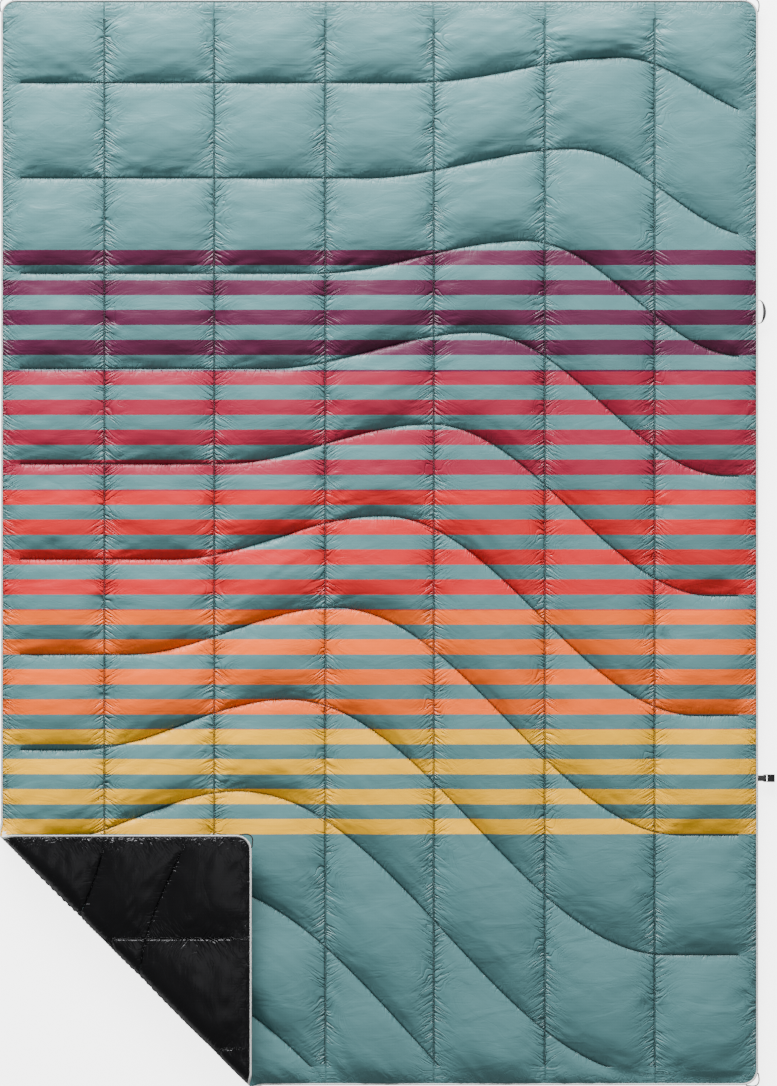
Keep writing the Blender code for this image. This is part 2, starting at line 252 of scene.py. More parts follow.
def flat_coordinates(mesh):
    values = np.empty(len(mesh.vertices) * 3)
    mesh.attributes["flat"].data.foreach_get("vector", values)
    return values.reshape(-1, 3)


def quilted_sheet(name, across_steps, down_steps, crowd=0.0):
    """A flat sheet whose mesh lines follow the seams, closer together beside the columns, cut off straight at
    the foot, with its corners rounded."""
    across, down = (COLUMNS + 1) * across_steps, (WAVES + 1) * down_steps
    bpy.ops.object.select_all(action="DESELECT")
    bpy.ops.mesh.primitive_grid_add(x_subdivisions=across, y_subdivisions=down, size=2)
    sheet = bpy.context.object
    sheet.name = sheet.data.name = name
    place = coordinates(sheet.data)
    i = np.rint((place[:, 0] + 1) / 2 * across).astype(int)
    j = np.rint((1 - place[:, 1]) / 2 * down).astype(int)
    column, row = np.minimum(i // across_steps, COLUMNS), np.minimum(j // down_steps, WAVES)
    u, v = i / across_steps - column, j / down_steps - row
    u = u - crowd * np.sin(2 * np.pi * u) / (2 * np.pi)
    x = SEAM_COLUMNS[column] * (1 - u) + SEAM_COLUMNS[column + 1] * u
    rows = seam_rows(x)
    points = np.arange(len(x))
    y = rows[row, points] * (1 - v) + rows[row + 1, points] * v
    foot = -LENGTH / 2
    y = np.where(np.abs(y - foot) < 0.0018, foot, y)
    set_coordinates(sheet.data, np.stack((x, y, np.zeros_like(x)), axis=1))
    bpy.ops.object.mode_set(mode="EDIT")
    bpy.ops.mesh.select_all(action="SELECT")
    bpy.ops.mesh.bisect(plane_co=(0, foot, 0), plane_no=(0, -1, 0), clear_outer=True)
    bpy.ops.mesh.select_all(action="SELECT")
    bpy.ops.mesh.remove_doubles(threshold=0.0003)
    bpy.ops.object.mode_set(mode="OBJECT")
    place = coordinates(sheet.data)
    arm = np.maximum(np.abs(place[:, :2]) - np.array((WIDTH, LENGTH)) / 2 + CORNER_RADIUS, 0)
    reach, length = arm.max(axis=1), np.hypot(arm[:, 0], arm[:, 1])
    shrink = np.where(length > 0, reach / np.maximum(length, 1e-9), 1.0)
    place[:, :2] -= np.sign(place[:, :2]) * arm * (1 - shrink)[:, None]
    set_coordinates(sheet.data, place)
    flat = sheet.data.attributes.new("flat", "FLOAT_VECTOR", "POINT")
    flat.data.foreach_set("vector", place.ravel())
    return sheet


BILLOW_STEPS = 12
BILLOW_FRAMES = 20
SPARE_CUT = (1.045, 1.08, 0)
BLOWING = 24
FURTHEST_MOVE = 0.012


def billow(seam_height, crown, side, seed):
    """The shape one quilted cloth takes over the fill, as displacements on a regular grid of each cell. Cloth
    with a little spare length, held along its stitching and its hem, is blown up for a moment."""
    steps = BILLOW_STEPS
    wide, tall = (COLUMNS + 1) * steps + 1, (WAVES + 1) * steps + 1
    i, j = np.meshgrid(np.arange(wide), np.arange(tall))
    i, j = i.ravel(), j.ravel()
    column, row = np.minimum(i // steps, COLUMNS), np.minimum(j // steps, WAVES)
    u, v = i / steps - column, j / steps - row
    x = SEAM_COLUMNS[column] * (1 - u) + SEAM_COLUMNS[column + 1] * u
    rows = seam_rows(x)
    points = np.arange(len(x))
    y = rows[row, points] * (1 - v) + rows[row + 1, points] * v
    flat = np.stack((x, y, np.zeros_like(x)), axis=1)
    _, _, from_column, from_wave, _, _, _ = seam_measures(x, y)
    inside = outline_distance(x, y)
    at_hem = inside < 0.0006
    held = held_by_seam(x, y, from_column, from_wave) | at_hem
    swell = (np.sin(np.pi * u) * np.sin(np.pi * v)) ** 0.55 * portion(inside, 0.05) ** 0.5
    loft = abs(crown - seam_height)
    shake = np.random.default_rng(seed).normal(0, 0.0007, len(x))
    start = flat.copy()
    start[:, 2] = seam_height + side * np.where(held, 0, loft * 0.85 * swell + shake)
    start[:, 2] = np.where(at_hem, SEAM_EDGE, start[:, 2])
    grid = bpy.data.meshes.new("billow")
    a = (j * wide + i).reshape(tall, wide)
    quads = np.stack((a[1:, :-1], a[1:, 1:], a[:-1, 1:], a[:-1, :-1]), axis=-1).reshape(-1, 4)
    grid.from_pydata(start.tolist(), [], quads.tolist())
    cloth_object = put_in_scene("billow", grid)
    pins = cloth_object.vertex_groups.new(name="seams")
    pins.add([int(k) for k in np.nonzero(held)[0]], 1.0, "REPLACE")
    cloth_object.shape_key_add(name="quilted")
    cut = cloth_object.shape_key_add(name="cut")
    cut.data.foreach_set("co", (flat * np.array(SPARE_CUT)).ravel())
    cut.value = 0.0
    modifier = cloth_object.modifiers.new("billow", "CLOTH")
    cloth = modifier.settings
    cloth.rest_shape_key = cut
    cloth.vertex_group_mass = "seams"
    cloth.mass = 0.05
    cloth.quality = 6
    cloth.air_damping = 3
    cloth.tension_stiffness = cloth.compression_stiffness = 30
    cloth.shear_stiffness = 12
    cloth.bending_stiffness = 0.005
    cloth.use_pressure = True
    cloth.uniform_pressure_force = BLOWING * side
    cloth.effector_weights.gravity = 0
    modifier.collision_settings.use_collision = False
    modifier.collision_settings.use_self_collision = False
    modifier.point_cache.frame_start, modifier.point_cache.frame_end = 1, BILLOW_FRAMES
    scene = bpy.context.scene
    scene.frame_start, scene.frame_end = 1, BILLOW_FRAMES
    for step in range(1, BILLOW_FRAMES + 1):
        scene.frame_set(step)
    settled = coordinates(cloth_object.evaluated_get(bpy.context.evaluated_depsgraph_get()).data)
    move = settled - start
    length = np.linalg.norm(move, axis=1)
    start = start + move * np.minimum(1, FURTHEST_MOVE / np.maximum(length, 1e-9))[:, None]
    bpy.data.objects.remove(cloth_object)
    bpy.data.meshes.remove(grid)
    scene.frame_set(1)
    shift = (start - flat).reshape(tall, wide, 3)
    cells = np.empty((WAVES + 1, COLUMNS + 1, steps + 3, steps + 3, 3))
    for r in range(WAVES + 1):
        for c in range(COLUMNS + 1):
            cell = shift[r * steps:(r + 1) * steps + 1, c * steps:(c + 1) * steps + 1]
            cells[r, c, 1:-1, 1:-1] = cell
            cells[r, c, 0, 1:-1] = 2 * cell[0] - cell[1]
            cells[r, c, -1, 1:-1] = 2 * cell[-1] - cell[-2]
            cells[r, c, :, 0] = 2 * cells[r, c, :, 1] - cells[r, c, :, 2]
            cells[r, c, :, -1] = 2 * cells[r, c, :, -2] - cells[r, c, :, -3]
    return cells


def billowed(cells, x, y):
    """The cloth's displacements at any points, read smoothly from its cells."""
    across, down, _, _, column, row, _ = seam_measures(x, y)
    s, t = across * BILLOW_STEPS, down * BILLOW_STEPS
    i = np.minimum(s.astype(int), BILLOW_STEPS - 1)
    j = np.minimum(t.astype(int), BILLOW_STEPS - 1)
    s, t = s - i, t - j

    def weights(f):
        return (
            -0.5 * f + f * f - 0.5 * f ** 3,
            1 - 2.5 * f * f + 1.5 * f ** 3,
            0.5 * f + 2 * f * f - 1.5 * f ** 3,
            -0.5 * f * f + 0.5 * f ** 3,
        )

    total = np.zeros((len(x), 3))
    for b, down_weight in enumerate(weights(t)):
        for a, across_weight in enumerate(weights(s)):
            total += (down_weight * across_weight)[:, None] * cells[row, column, j + b, i + a]
    return total


def sharp_folds(values, keep):
    """Turns smooth noise into rounded ridges parted by narrow creases, -1 in a crease and up to 0 between."""
    return -np.clip(1 - np.abs(values) * keep, 0, 1) ** 2


def gathers(x, y, seed):
    """Heights of the gathers: short slanting tucks beside the columns, softer ones along the waves, longer rays
    above each wave and from the crossings, and puckers square to the hem."""
    across, down, from_column, from_wave, column, row, _ = seam_measures(x, y)
    inside = outline_distance(x, y)
    side = np.sign(from_column)
    off = np.abs(from_column)
    drop = np.abs(from_wave)
    above = (down > 0.5).astype(float)
    away = np.hypot(off, drop)

    lean = (0.55 + 0.35 * cloth_noise(y / 0.05, column + row * 3.0, seed)) * np.where(down < 0.42, -1, 1)
    slant = y + off * lean
    tuck = sharp_folds(cloth_noise(slant / 0.0075, column * 11.0 + side * 3.0, seed + 2), 2.2)
    patch = np.clip(0.65 + 0.6 * cloth_noise(y / 0.03, column * 7.3 + side, seed + 1), 0.1, 1.2)
    reach = 0.013 + 0.009 * cloth_noise(y / 0.016, column * 5.0 + side, seed + 3)
    fade = np.clip((LENGTH / 2 - COLUMN_END * 0.6 - np.abs(y)) / 0.03, 0, 1)
    die_away = np.exp(-(off / np.maximum(reach, 0.006)) ** 1.4)
    height = 0.0034 * tuck * patch * fade * die_away * portion(off, 0.003)

    spread = x + drop * 1.1 * (across - 0.5) * 2 + 0.3 * drop * cloth_noise(x / 0.05, row * 3.1, seed + 4)
    ray = sharp_folds(cloth_noise(spread / 0.011, row * 13.0 + above * 5.0, seed + 5), 1.6)
    ray_patch = np.clip(0.2 + 1.3 * cloth_noise(x / 0.045, row * 9.0 + above * 2.0, seed + 7), 0, 1)
    ray_reach = 0.012 + above * 0.020 + 0.010 * cloth_noise(x / 0.02, row * 3.0 + above, seed + 6)
    height += (0.0010 + 0.0022 * above) * ray * ray_patch * portion(drop, 0.006) * np.exp(
        -(drop / np.maximum(ray_reach, 0.006)) ** 1.5
    )

    angle = np.arctan2(drop, off)
    number = column * 4.0 + row * 17.0 + side * 1.7 + above * 2.3
    star = sharp_folds(cloth_noise(angle / 0.13, number, seed + 8), 1.5)
    height += 0.0032 * star * np.exp(-(away / (0.030 + 0.018 * above)) ** 1.5) * portion(away, 0.012)

    end_off = off
    end_drop = np.abs(LENGTH / 2 - COLUMN_END - np.abs(y))
    end_away = np.hypot(end_off, end_drop)
    end_angle = np.arctan2(LENGTH / 2 - COLUMN_END - np.abs(y), side * end_off)
    end_star = sharp_folds(cloth_noise(end_angle / 0.55 + 20, column * 3.0 + row + side, seed + 15), 1.3)
    height += 0.0040 * end_star * np.exp(-((end_away / 0.016) ** 1.6)) * portion(end_away, 0.004)

    run = np.where(WIDTH / 2 - np.abs(x) < LENGTH / 2 - np.abs(y), y, x)
    tilt = run + inside * (0.9 * cloth_noise(run / 0.07, np.sign(x) * 3.0, seed + 9))
    hem = sharp_folds(cloth_noise(tilt / 0.009, np.sign(x + y) * 5.0, seed + 10), 1.8)
    hem_reach = 0.013 + 0.010 * cloth_noise(run / 0.03, np.sign(x) * 2.0, seed + 11)
    height += 0.0022 * hem * np.exp(-inside / np.maximum(hem_reach, 0.005)) * portion(inside, 0.004)

    room = np.clip(np.minimum(off, drop) / 0.03, 0, 1) * portion(inside, 0.02)
    slackness = ((0.060, 0.0009, 0.5, 12), (0.030, 0.0005, -0.9, 13), (0.015, 0.0002, 0.2, 14))
    for size, amount, turn, extra in slackness:
        cosine, sine = math.cos(turn), math.sin(turn)
        along, over = x * cosine + y * sine, (y * cosine - x * sine) * 2.2
        height += amount * cloth_noise(along / size, over / size, seed + extra) * room
    return height


def turn_corner(place, flat, thin_edge):
    """Folds the flat sheet: what lies beyond the fold line swings over, and the cloth near it rolls round.
    place is moved from its flat coordinates; thin_edge is 1 for cloth inside the fold and 0 for cloth outside."""
    inward = fold_distance(place)
    beyond = -inward
    radius = FOLD_HEIGHT - place[:, 2]
    base = place[:, :2] - inward[:, None] * INWARD
    run = ROLL_RUN * radius
    angle = np.pi / 2 * (1 + np.clip(beyond / np.maximum(run, 1e-6), -1, 1))
    rounded = run - (run + ROLL_BULGE * radius) * np.sin(angle)
    roll_in = np.where(np.abs(beyond) < run, rounded, np.abs(beyond))
    roll_z = FOLD_HEIGHT - radius * np.cos(angle)
    close = ease(1 - np.abs(beyond) / FACE_EASE)
    crease_gap = (radius * (1 - close) + 0.0003 * close) * np.where(beyond > 0, -1, 1)
    crease_z = FOLD_HEIGHT - crease_gap
    crease_in = np.abs(beyond)
    hem = np.clip((outline_distance(flat[:, 0], flat[:, 1]) - 0.002) / 0.035, 0, 1)
    inner = thin_edge * hem
    new_in = roll_in * (1 - inner) + crease_in * inner
    new_z = roll_z * (1 - inner) + crease_z * inner
    folded = place.copy()
    folded[:, :2] = base + new_in[:, None] * INWARD
    folded[:, 2] = new_z
    return folded


def lay_uv(mesh, values):
    """A map named cut, in metres, from one pair of values for each point."""
    corners = np.empty(len(mesh.loops), dtype=int)
    mesh.loops.foreach_get("vertex_index", corners)
    mesh.uv_layers.new(name="cut").data.foreach_set("uv", values[corners].ravel())


def lay_panel_uv(sheet):
    """The cut panel's own coordinates, from its foot's left corner."""
    lay_uv(sheet.data, flat_coordinates(sheet.data)[:, :2] + np.array((WIDTH, LENGTH)) / 2)


def mark_seams(sheet):
    """Where each point lies in its cell, for the finest gathers and the tight line along the stitching: distance
    from the nearest column, distance from the nearest wave, the lean of its tucks, and which half cell it is in."""
    flat = flat_coordinates(sheet.data)
    x, y = flat[:, 0], flat[:, 1]
    across, down, from_column, from_wave, column, _, _ = seam_measures(x, y)
    tract = sheet.data.attributes.new("tract", "FLOAT", "POINT")
    tract.data.foreach_set("value", (column * 2.0 + (across > 0.5)).astype(np.float32))
    lean = np.clip((down - 0.42) / 0.06, -1, 1)
    ended = np.abs(y) > LENGTH / 2 - COLUMN_END * 0.9
    from_column = np.maximum(np.abs(from_column), np.where(ended, 0.02, 0))
    ended = (np.abs(x) > WIDTH / 2 - WAVE_END * 0.9) | (y < -LENGTH / 2 + WAVE_END * 0.9)
    from_wave = np.maximum(np.abs(from_wave), np.where(ended, 0.02, 0))
    seams = sheet.data.attributes.new("seams", "FLOAT_VECTOR", "POINT")
    measures = np.stack((from_column, from_wave, lean), axis=1)
    seams.data.foreach_set("vector", measures.astype(np.float32).ravel())
    hem = sheet.data.attributes.new("hem", "FLOAT", "POINT")
    hem.data.foreach_set("value", outline_distance(x, y).astype(np.float32))


def feed(tree, made, feeds):
    """Sets a node's inputs by name or number: links each value that is a socket, fills in each constant."""
    for key, value in feeds.items():
        if isinstance(value, bpy.types.NodeSocket):
            tree.links.new(value, made.inputs[key])
        else:
            made.inputs[key].default_value = value


def node(tree, kind, feeds=None, **values):
    made = tree.nodes.new(kind)
    for key, value in values.items():
        setattr(made, key, value)
    feed(tree, made, feeds or {})
    return made


def math_node(tree, operation, *values):
    return node(tree, "ShaderNodeMath", dict(enumerate(values)), operation=operation).outputs[0]


def times(tree, first, second):
    return math_node(tree, "MULTIPLY", first, second)


def plus(tree, first, second):
    return math_node(tree, "ADD", first, second)


def minus(tree, first, second):
    return math_node(tree, "SUBTRACT", first, second)


def bump_from(tree, shader, height, depth, strength=1.0):
    """Raises a surface by a height pattern, of a depth in metres."""
    bump = node(tree, "ShaderNodeBump", {"Strength": strength, "Distance": depth, "Height": height})
    tree.links.new(bump.outputs["Normal"], shader.inputs["Normal"])


def new_group(name, inputs, outputs):
    """A node group, with the names and kinds of its inputs and outputs."""
    group = bpy.data.node_groups.new(name, "ShaderNodeTree")
    for way, sockets in (("INPUT", inputs), ("OUTPUT", outputs)):
        for label, kind in sockets.items():
            group.interface.new_socket(label, in_out=way, socket_type="NodeSocket" + kind)
    return group, node(group, "NodeGroupInput"), node(group, "NodeGroupOutput")


def noise_node(tree, vector, scale, detail=2.0, distortion=0.0, dimensions="2D"):
    feeds = {"Scale": scale, "Detail": detail, "Distortion": distortion, "Vector": vector}
    return node(tree, "ShaderNodeTexNoise", feeds, noise_dimensions=dimensions).outputs["Fac"]


def crease(tree, value, width):
    """1 where a noise value passes its middle, falling to 0 on both sides: a narrow line."""
    off = math_node(tree, "ABSOLUTE", minus(tree, value, 0.5))
    line = minus(tree, 1.0, math_node(tree, "DIVIDE", off, width))
    return math_node(tree, "POWER", math_node(tree, "MAXIMUM", line, 0.0), 1.5)


def nearness(tree, distance, reach):
    """1 at a seam, falling away over a distance."""
    scaled = math_node(tree, "DIVIDE", math_node(tree, "ABSOLUTE", distance), -reach)
    return math_node(tree, "EXPONENT", scaled)


def bands(tree, place, axis, scale, distortion=0.0):
    """Even waves across an axis."""
    feeds = {"Scale": scale, "Distortion": distortion, "Vector": place}
    wave = node(tree, "ShaderNodeTexWave", feeds, wave_type="BANDS", bands_direction=axis, wave_profile="SIN")
    return wave.outputs["Fac"]


def ripstop_group():
    """Downproof ripstop: a fine weave with a raised square grid, creased where a seam gathers it. Fine tucks
    lean away from the columns, and every line of stitching pulls the cloth into a narrow groove."""
    group, given, out = new_group(
        "ripstop_weave",
        {"Place": "Vector", "Seams": "Vector", "Hem": "Float", "Tract": "Float"},
        {"Height": "Float", "Sheen": "Float", "Painted_shade": "Float"},
    )
    place = given.outputs["Place"]
    x, y, _ = node(group, "ShaderNodeSeparateXYZ", {"Vector": place}).outputs
    from_column, from_wave, lean = node(group, "ShaderNodeSeparateXYZ", {"Vector": given.outputs["Seams"]}).outputs
    slant = plus(group, y, times(group, times(group, from_column, 0.62), lean))
    turned = {
        "X": times(group, from_column, 26.0),
        "Y": times(group, slant, 110.0),
        "Z": times(group, given.outputs["Tract"], 7.3),
    }
    turned = node(group, "ShaderNodeCombineXYZ", turned).outputs["Vector"]
    tucks = crease(group, noise_node(group, turned, 1.0, 1.0, 0.45, "3D"), 0.12)
    tucks = times(group, tucks, nearness(group, from_column, 0.0125))
    tucks = times(group, tucks, times(group, noise_node(group, place, 24.0, 1.0), 1.5))

    across_wave = node(group, "ShaderNodeCombineXYZ", {"X": times(group, x, 75.0), "Y": times(group, y, 24.0)})
    wave_tucks = crease(group, noise_node(group, across_wave.outputs["Vector"], 1.0, 1.0, 0.5), 0.10)
    wave_tucks = times(group, wave_tucks, nearness(group, from_wave, 0.007))
    hem_tucks = crease(group, noise_node(group, place, 75.0, 1.0, 0.7), 0.10)
    hem_tucks = times(group, hem_tucks, nearness(group, given.outputs["Hem"], 0.012))

    column_groove = times(group, nearness(group, from_column, 0.0013), 0.7)
    groove = math_node(group, "MAXIMUM", column_groove, nearness(group, from_wave, 0.0017))
    drawn = {"Rotation": (0, 0, 0.5), "Scale": (0.5, 1.3, 1), "Vector": place}
    drawn = node(group, "ShaderNodeMapping", drawn).outputs["Vector"]
    soft = noise_node(group, drawn, 24.0, 3.0, 0.6)
    sharp = crease(group, noise_node(group, drawn, 17.0, 1.0, 1.0), 0.035)
    sharp = times(group, sharp, noise_node(group, place, 9.0, 1.0))
    grid_x, grid_y = (bands(group, place, axis, 62.0) for axis in "XY")
    lines = math_node(group, "POWER", math_node(group, "MAXIMUM", grid_x, grid_y), 9.0)

    height = times(group, tucks, -1.0)
    relief = ((wave_tucks, -0.35), (hem_tucks, -0.30), (groove, -0.9), (soft, 0.36), (sharp, -0.05), (lines, 0.012))
    for value, amount in relief:
        height = plus(group, height, times(group, value, amount))
    # Painted shade: the seam grooves and the tucks beside the columns, given out to darken the cloth's colour where
    # their shade falls.
    shade = math_node(group, "MAXIMUM", groove, times(group, tucks, 0.85))
    feed(group, out, {"Height": height, "Sheen": soft, "Painted_shade": shade})
    return group


RIPSTOP = ripstop_group()
DUSTY_TEAL = (0.080, 0.205, 0.215, 1)
STRIPE_TOP = 0.5138
STRIPE_PITCH = 0.0526
STRIPE_SHARE = 0.508
STRIPES = 20
STRIPE_COLOURS = (
    (0.090, 0.005, 0.038, 1),
    (0.330, 0.008, 0.036, 1),
    (0.640, 0.010, 0.014, 1),
    (1.000, 0.135, 0.000, 1),
    (1.000, 0.500, 0.000, 1),
)


def mixed(tree, share, first, second):
    """One colour turning into another."""
    return node(tree, "ShaderNodeMix", {0: share, 6: first, 7: second}, data_type="RGBA").outputs[2]


def stripe_group():
    """The print: five groups of four stripes, plum, crimson, red, orange and amber, on dusty teal."""
    group, given, out = new_group("stripe_print", {"Place": "Vector"}, {"Colour": "Color"})
    _, y, _ = node(group, "ShaderNodeSeparateXYZ", {"Vector": given.outputs["Place"]}).outputs
    count = math_node(group, "DIVIDE", minus(group, STRIPE_TOP + LENGTH / 2, y), STRIPE_PITCH)
    inked = math_node(group, "LESS_THAN", math_node(group, "FRACT", count), STRIPE_SHARE)
    inked = times(group, inked, math_node(group, "GREATER_THAN", count, 0.0))
    inked = times(group, inked, math_node(group, "LESS_THAN", count, float(STRIPES)))
    ramp = node(group, "ShaderNodeValToRGB", {"Fac": math_node(group, "DIVIDE", count, float(STRIPES))})
    ramp.color_ramp.interpolation = "CONSTANT"
    steps = ramp.color_ramp.elements
    steps[0].color = STRIPE_COLOURS[0]
    steps[1].position, steps[1].color = 1 / len(STRIPE_COLOURS), STRIPE_COLOURS[1]
    for k in range(2, len(STRIPE_COLOURS)):
        steps.new(k / len(STRIPE_COLOURS)).color = STRIPE_COLOURS[k]
    feed(group, out, {"Colour": mixed(group, inked, DUSTY_TEAL, ramp.outputs["Color"])})
    return group


def cloth_look(name, colour_group, plain, rough, depth):
    """A ripstop cloth's material, printed by a group or plain."""
    look, tree, shader = new_look(name)
    place = node(tree, "ShaderNodeUVMap", uv_map="cut").outputs["UV"]
    feeds = {"Place": place}
    for mark, output in (("seams", "Vector"), ("hem", "Fac"), ("tract", "Fac")):
        feeds[mark.capitalize()] = node(tree, "ShaderNodeAttribute", attribute_name=mark).outputs[output]
    weave = node(tree, "ShaderNodeGroup", node_tree=RIPSTOP)
    feed(tree, weave, feeds)
    value = plus(tree, times(tree, noise_node(tree, place, 6.0, 3.0), 0.20), 0.90)
    # Painted shade: the colour is darkened along the lines of stitching and in the tucks beside the columns, over a
    # random tone.
    value = minus(tree, value, times(tree, weave.outputs["Painted_shade"], 0.62))
    if colour_group:
        printed = node(tree, "ShaderNodeGroup", node_tree=colour_group)
        feed(tree, printed, {"Place": place})
        plain = printed.outputs["Colour"]
    tone_and_painted_shade = node(tree, "ShaderNodeHueSaturation", {"Value": value, "Color": plain})
    roughness = plus(tree, times(tree, weave.outputs["Sheen"], 0.16), rough)
    feed(tree, shader, {"Base Color": tone_and_painted_shade.outputs["Color"], "Roughness": roughness})
    bump_from(tree, shader, weave.outputs["Height"], depth, 0.9)
    return look, shader


def dress_cloth(sheet, cells, side, seed, low, high):
    """Gives a flat sheet its billowed and gathered shape; returns its heights in the flat."""
    flat = flat_coordinates(sheet.data)
    x, y = flat[:, 0], flat[:, 1]
    shift = billowed(cells, x, y)
    _, down, _, _, _, _, _ = seam_measures(x, y)
    inside = outline_distance(x, y)
    shift[:, :2] *= portion(inside, 0.01)[:, None]
    place = flat + shift
    if side > 0:
        place[:, 2] = SEAM_FACE + (place[:, 2] - SEAM_FACE) * (0.70 + 0.42 * ease(down / 0.75))
    loft = np.abs(place[:, 2] - (SEAM_FACE if side > 0 else SEAM_LINING))
    smoothed = 1 - 0.65 * np.exp(-((fold_distance(flat) / 0.022) ** 2))
    place[:, 2] += side * gathers(x, y, seed) * np.clip(loft / 0.005, 0.05, 1) * smoothed
    place[:, 2] = np.where(inside < 0.0004, SEAM_EDGE, place[:, 2])
    over = place[:, 2] - high
    place[:, 2] = np.where(over > -0.002, high - 0.002 * np.exp(-(over + 0.002) / 0.002), place[:, 2])
    lowest = np.broadcast_to(low, over.shape)
    under = lowest - place[:, 2]
    place[:, 2] = np.where(under > -0.0003, lowest + 0.0003 * np.exp(-(under + 0.0003) / 0.0003), place[:, 2])
    hem = portion(inside, 0.004)
    place[:, 2] = SEAM_EDGE * (1 - hem) + place[:, 2] * hem
    return place, flat


face_cells = billow(SEAM_FACE, CROWN, 1, 3)
face = quilted_sheet("printed_face", 22, 54, 0.6)
place, flat = dress_cloth(face, face_cells, 1, 20, SEAM_EDGE + 0.0003, FOLD_HEIGHT - 0.0004)
set_coordinates(face.data, turn_corner(place, flat, 1.0))
lay_panel_uv(face)
mark_seams(face)
face.data.shade_smooth()
face_look, face_shader = cloth_look("printed_ripstop", stripe_group(), None, 0.37, 0.0035)
feed(face_look.node_tree, face_shader, {"Specular IOR Level": 0.42, "Sheen Weight": 0.04, "Sheen Roughness": 0.4})
face.data.materials.append(face_look)
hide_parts("face_shell", "flap_face_shell")


def bend_at_fold(piece):
    """Bakes the piece's transform into its points; the turn of the corner is already in them from turn_corner."""
    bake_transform(piece)


bend_at_fold(face)


# -----------------------------------------------------------------------------
# Lining. The same ripstop in glossy black, seamed to the face at the hem and quilted with it. It lies pressed
# against the ground under the blanket, and shows where the corner is turned over.
# -----------------------------------------------------------------------------

lining_cells = billow(SEAM_LINING, 0.0, -1, 5)
lining = quilted_sheet("black_lining", 26, 46, 0.4)
flat = flat_coordinates(lining.data)
ground = 0.0003 - 0.0035 * ease(-fold_distance(flat) / 0.08)
place, flat = dress_cloth(lining, lining_cells, -1, 60, ground, SEAM_EDGE - 0.0003)
set_coordinates(lining.data, turn_corner(place, flat, 0.0))
lay_panel_uv(lining)
mark_seams(lining)
lining.data.flip_normals()
lining.data.shade_smooth()
lining_look, lining_shader = cloth_look("black_lining", None, (0.0020, 0.0020, 0.0024, 1), 0.20, 0.0030)
feed(lining_look.node_tree, lining_shader, {"Specular IOR Level": 0.50, "Specular Tint": (0.6, 0.6, 0.63, 1)})
lining.data.materials.append(lining_look)
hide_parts("backing_shell", "flap_backing_shell")
bend_at_fold(lining)


# -----------------------------------------------------------------------------
# Fill. Loose polyester batting, cut with the cloth and caught in every seam.
# -----------------------------------------------------------------------------

FILL_INSET = 0.004
FILL_SHARE = 0.5
FOLD_LIFT = 0.35

fill = quilted_sheet("quilt_fill", 16, 24)
flat = flat_coordinates(fill.data)
upper = billowed(face_cells, flat[:, 0], flat[:, 1])[:, 2] - SEAM_FACE
lower = SEAM_LINING - billowed(lining_cells, flat[:, 0], flat[:, 1])[:, 2]
inside = outline_distance(flat[:, 0], flat[:, 1])
hem = portion(inside, 0.03)
inset = np.stack((flat[:, 0] * (1 - FILL_INSET / WIDTH), flat[:, 1] * (1 - FILL_INSET / LENGTH)), axis=1)
upper_height = SEAM_EDGE + 0.0001 + np.clip(upper * FILL_SHARE - 0.0022, 0, 0.013) * hem
lower_height = SEAM_EDGE - 0.0001 - np.clip(lower * FILL_SHARE - 0.0018, 0, 0.006) * hem
upper_place = np.column_stack((inset, upper_height))
lower_place = np.column_stack((inset, lower_height))
lifted = FOLD_LIFT * ease(1 - np.abs(fold_distance(flat)) / FACE_EASE) * portion(inside - FILL_INSET, 0.035)
for cut_layer in (lower_place, upper_place):
    cut_layer[:, 2] += lifted * (FOLD_HEIGHT - cut_layer[:, 2])
upper_turned = turn_corner(upper_place, flat, 0.0)
lower_turned = turn_corner(lower_place, flat, 0.0)
count = len(flat)
shape = bmesh.new()
shape.from_mesh(fill.data)
shape.verts.ensure_lookup_table()
faces = [[v.index for v in f.verts] for f in shape.faces]
border = []
for border_edge in shape.edges:
    if border_edge.is_boundary:
        loop = border_edge.link_loops[0]
        border.append((loop.vert.index, loop.link_loop_next.vert.index))
shape.free()
faces += [[k + count for k in reversed(face_corners)] for face_corners in faces]
faces += [[b, a, a + count, b + count] for a, b in border]
solid = bpy.data.meshes.new("quilt_fill")
solid.from_pydata(np.vstack((upper_turned, lower_turned)).tolist(), [], faces)
fill.data = solid
fill.data.shade_smooth()
fill_look, fill_tree, fill_shader = new_look("white_batting")
feed(fill_tree, fill_shader, {"Base Color": (0.80, 0.80, 0.77, 1), "Roughness": 0.95, "Sheen Weight": 0.4})
fibre_place = node(fill_tree, "ShaderNodeTexCoord")
fibres = noise_node(fill_tree, fibre_place.outputs["Object"], 160.0, 5.0, 2.0, "3D")
bump_from(fill_tree, fill_shader, fibres, 0.003)
fill.data.materials.append(fill_look)
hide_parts("insulation", "flap_insulation")
bend_at_fold(fill)


# -----------------------------------------------------------------------------
# Quilting thread. A lockstitch through all the layers: short raised dashes on the face, and the same on the
# lining, along every column and wave.
# -----------------------------------------------------------------------------

STITCH_PITCH = 0.0040
STITCH_LENGTH = 0.0031
THREAD_RADIUS = 0.00030


def stitch_lines():
    """Evenly spaced points along every row of stitching, with the direction of each."""
    spots, ways = [], []
    for k in range(COLUMNS):
        y = np.arange(-LENGTH / 2 + COLUMN_END, LENGTH / 2 - COLUMN_END, STITCH_PITCH)
        spots.append(np.stack((np.full_like(y, column_x(k)), y), axis=1))
        ways.append(np.tile((0.0, 1.0), (len(y), 1)))
    for k in range(WAVES):
        x = np.linspace(-WIDTH / 2 + WAVE_END, WIDTH / 2 - WAVE_END, 4000)
        y = wave_y(k, x)
        run = np.concatenate(((0,), np.cumsum(np.hypot(np.diff(x), np.diff(y)))))
        stops = np.arange(0, run[-1], STITCH_PITCH)
        line = np.stack((np.interp(stops, run, x), np.interp(stops, run, y)), axis=1)
        way = np.gradient(line, axis=0)
        way /= np.linalg.norm(way, axis=1)[:, None]
        keep = line[:, 1] > -LENGTH / 2 + WAVE_END
        spots.append(line[keep])
        ways.append(way[keep])
    return np.vstack(spots), np.vstack(ways)


